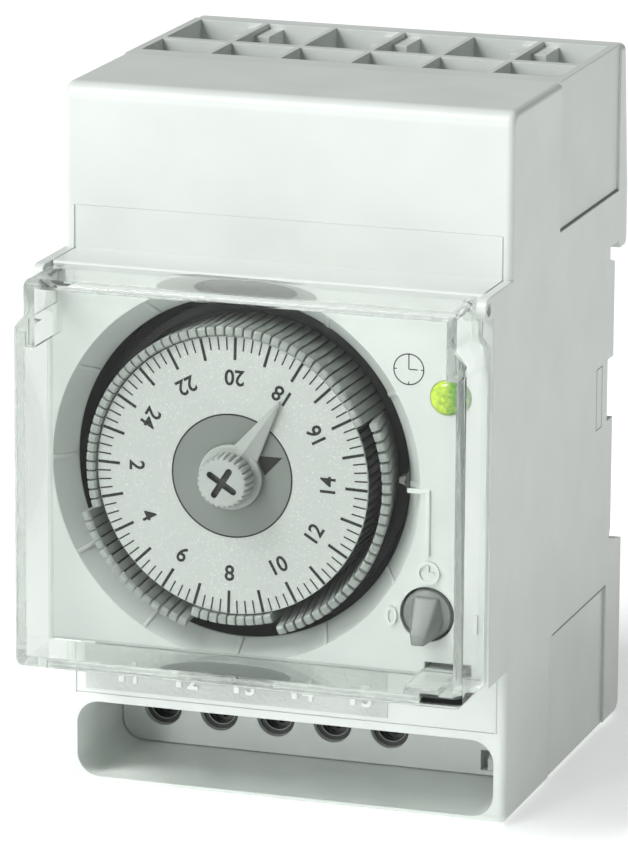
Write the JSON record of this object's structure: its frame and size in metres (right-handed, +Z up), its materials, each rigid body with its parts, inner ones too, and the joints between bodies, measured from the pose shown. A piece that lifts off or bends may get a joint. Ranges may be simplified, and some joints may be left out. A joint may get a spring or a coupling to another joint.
{
  "type": "rail-mounted analogue time switch",
  "caption": "Three-module rail-mounted timer: hinged clear cover over a rotating day dial with a ring of tilting tappets, setting knob, selector, status lens and screw terminals.",
  "frame": {"origin": "middle of the seat face that rests on the rail", "axes": "+Z up, +Y back towards the rail, +X to the right seen from the front"},
  "size_m": [0.053, 0.0643, 0.0821],
  "materials": {
    "housing": "fine matt light grey",
    "frame": "fine matt light grey",
    "blocks": "fine matt light grey",
    "label": "grained light grey",
    "clear": "clear and polished",
    "black": "matt black",
    "index": "matt mid grey",
    "dial_print": "silver white with black print",
    "disc": "matt grey",
    "tappet": "satin grey",
    "knob": "satin light grey",
    "selector": "satin dark grey",
    "latch": "matt grey",
    "gear": "natural acetal",
    "brass": "satin brass",
    "steel": "zinc plated steel",
    "iron": "bare electrical steel",
    "magnet": "dark sintered magnet",
    "winding": "enamelled copper wire",
    "board": "green solder resist",
    "battery": "green sleeve",
    "component": "moulded black",
    "lens": "translucent yellow green"
  },
  "bodies": {
    "root": {"rear_housing": "housing", "top_block": "blocks", "terminal_block": "blocks", "front_frame": "frame", "terminal_label": "label", "drum_surround": "black", "time_index": "index", "bearing_tube": "gear", "centre_disc": "disc", "front_plate": "black", "rear_plate": "black", "plate_pillars": "brass", "plate_screws": "steel", "stator": "iron", "coil_bobbin": "component", "coil_winding": "winding", "feeler_pin": "steel", "switch_body": "component", "switch_contacts": "brass", "circuit_board": "board", "backup_battery": "battery", "quartz_crystal": "steel", "board_parts": "component", "led": "lens", "led_lens": "lens", "current_bars": "brass", "latch_spring": "steel"},
    "cover": {"clear_cover": "clear"},
    "latch": {"rail_latch": "latch"},
    "dial": {"dial_drum": "black", "dial_face": "dial_print", "tappets_on": "tappet", "tappets_off": "tappet"},
    "minute": {"minute_arbor": "steel", "minute_hand": "knob", "setting_knob": "knob", "clutch_spring": "steel"},
    "idler": {"idler_wheel": "gear"},
    "centre": {"centre_wheel": "gear"},
    "third": {"third_wheel": "gear"},
    "rotor": {"rotor_pinion": "gear", "rotor_magnet": "magnet"},
    "selector": {"selector_knob": "selector"},
    "feeler": {"feeler_lever": "gear"},
    "plunger": {"switch_plunger": "gear"},
    "tappet_0300_body": {"tappet_0300": "tappet"},
    "tappet_0700_body": {"tappet_0700": "tappet"},
    "tappet_0900_body": {"tappet_0900": "tappet"},
    "tappet_1530_body": {"tappet_1530": "tappet"},
    "screw_1": {"terminal_screw_1": "steel"},
    "cage_1": {"terminal_cage_1": "steel"},
    "screw_2": {"terminal_screw_2": "steel"},
    "cage_2": {"terminal_cage_2": "steel"},
    "screw_3": {"terminal_screw_3": "steel"},
    "cage_3": {"terminal_cage_3": "steel"},
    "screw_4": {"terminal_screw_4": "steel"},
    "cage_4": {"terminal_cage_4": "steel"},
    "screw_5": {"terminal_screw_5": "steel"},
    "cage_5": {"terminal_cage_5": "steel"}
  },
  "joints": [
    {"name": "cover_hinge", "type": "hinge", "parent": "root", "child": "cover", "pos_m": [0, -0.0512, 0.0212], "axis": [-1, 0, 0], "range_deg": [0, 110]},
    {"name": "dial_spin", "type": "hinge", "parent": "root", "child": "dial", "pos_m": [-0.0034, -0.045, -0.0003], "axis": [0, -1, 0], "continuous": true},
    {"name": "minute_spin", "type": "hinge", "parent": "root", "child": "minute", "pos_m": [-0.0034, -0.045, -0.0003], "axis": [0, -1, 0], "continuous": true},
    {"name": "idler_spin", "type": "hinge", "parent": "root", "child": "idler", "pos_m": [-0.01327, -0.0375, -0.00389], "axis": [0, -1, 0], "continuous": true},
    {"name": "centre_wheel_spin", "type": "hinge", "parent": "root", "child": "centre", "pos_m": [-0.0034, -0.0358, -0.0003], "axis": [0, -1, 0], "continuous": true},
    {"name": "third_wheel_spin", "type": "hinge", "parent": "root", "child": "third", "pos_m": [0.00185, -0.034, 0.00879], "axis": [0, -1, 0], "continuous": true},
    {"name": "rotor_spin", "type": "hinge", "parent": "root", "child": "rotor", "pos_m": [0.01219, -0.03, 0.00697], "axis": [0, -1, 0], "continuous": true},
    {"name": "selector_turn", "type": "hinge", "parent": "root", "child": "selector", "pos_m": [0.0193, -0.048, -0.0145], "axis": [0, -1, 0], "range_deg": [-90, 90]},
    {"name": "feeler_swing", "type": "hinge", "parent": "root", "child": "feeler", "pos_m": [0.0208, -0.0453, 0.006], "axis": [0, 1, 0], "range_deg": [0, 3.4]},
    {"name": "plunger_slide", "type": "slide", "parent": "root", "child": "plunger", "axis": [-1, 0, 0], "range_m": [0, 0.00065]},
    {"name": "latch_slide", "type": "slide", "parent": "root", "child": "latch", "axis": [0, 0, -1], "range_m": [0, 0.003], "stiffness_N_per_m": 1500, "springref_m": -0.002, "deforming": ["latch_spring"]},
    {"name": "tappet_0300_tilt", "type": "hinge", "parent": "dial", "child": "tappet_0300_body", "pos_m": [-0.01947, -0.043, -0.00476], "axis": [0.2677, 0, -0.9635], "range_deg": [0, 11.5]},
    {"name": "tappet_0700_tilt", "type": "hinge", "parent": "dial", "child": "tappet_0700_body", "pos_m": [-0.00757, -0.043, -0.01645], "axis": [0.9683, 0, -0.25], "range_deg": [0, 11.5]},
    {"name": "tappet_0900_tilt", "type": "hinge", "parent": "dial", "child": "tappet_0900_body", "pos_m": [0.00106, -0.043, -0.01637], "axis": [0.9635, 0, 0.2677], "range_deg": [0, 11.5]},
    {"name": "tappet_1530_tilt", "type": "hinge", "parent": "dial", "child": "tappet_1530_body", "pos_m": [0.01195, -0.043, 0.00622], "axis": [-0.3911, 0, 0.9203], "range_deg": [-11.5, 0]},
    {"name": "screw_turn_1", "type": "hinge", "parent": "root", "child": "screw_1", "pos_m": [-0.02, -0.02, -0.0354], "axis": [0, 1, 0], "range_deg": [0, 1440]},
    {"name": "cage_slide_1", "type": "slide", "parent": "root", "child": "cage_1", "axis": [0, -1, 0], "range_m": [0, 0.0024]},
    {"name": "screw_turn_2", "type": "hinge", "parent": "root", "child": "screw_2", "pos_m": [-0.013, -0.02, -0.0354], "axis": [0, 1, 0], "range_deg": [0, 1440]},
    {"name": "cage_slide_2", "type": "slide", "parent": "root", "child": "cage_2", "axis": [0, -1, 0], "range_m": [0, 0.0024]},
    {"name": "screw_turn_3", "type": "hinge", "parent": "root", "child": "screw_3", "pos_m": [-0.006, -0.02, -0.0354], "axis": [0, 1, 0], "range_deg": [0, 1440]},
    {"name": "cage_slide_3", "type": "slide", "parent": "root", "child": "cage_3", "axis": [0, -1, 0], "range_m": [0, 0.0024]},
    {"name": "screw_turn_4", "type": "hinge", "parent": "root", "child": "screw_4", "pos_m": [0.001, -0.02, -0.0354], "axis": [0, 1, 0], "range_deg": [0, 1440]},
    {"name": "cage_slide_4", "type": "slide", "parent": "root", "child": "cage_4", "axis": [0, -1, 0], "range_m": [0, 0.0024]},
    {"name": "screw_turn_5", "type": "hinge", "parent": "root", "child": "screw_5", "pos_m": [0.008, -0.02, -0.0354], "axis": [0, 1, 0], "range_deg": [0, 1440]},
    {"name": "cage_slide_5", "type": "slide", "parent": "root", "child": "cage_5", "axis": [0, -1, 0], "range_m": [0, 0.0024]}
  ],
  "couplings": [
    {"joint": "minute_spin", "follows": "dial_spin", "ratio": 24},
    {"joint": "idler_spin", "follows": "dial_spin", "ratio": -6},
    {"joint": "third_wheel_spin", "follows": "rotor_spin", "ratio": -0.16667},
    {"joint": "centre_wheel_spin", "follows": "rotor_spin", "ratio": 0.027778},
    {"joint": "plunger_slide", "follows": "feeler_swing", "m_per_rad": 0.0106},
    {"joint": "screw_turn_1", "follows": "cage_slide_1", "rad_per_m": 10472},
    {"joint": "screw_turn_2", "follows": "cage_slide_2", "rad_per_m": 10472},
    {"joint": "screw_turn_3", "follows": "cage_slide_3", "rad_per_m": 10472},
    {"joint": "screw_turn_4", "follows": "cage_slide_4", "rad_per_m": 10472},
    {"joint": "screw_turn_5", "follows": "cage_slide_5", "rad_per_m": 10472}
  ]
}
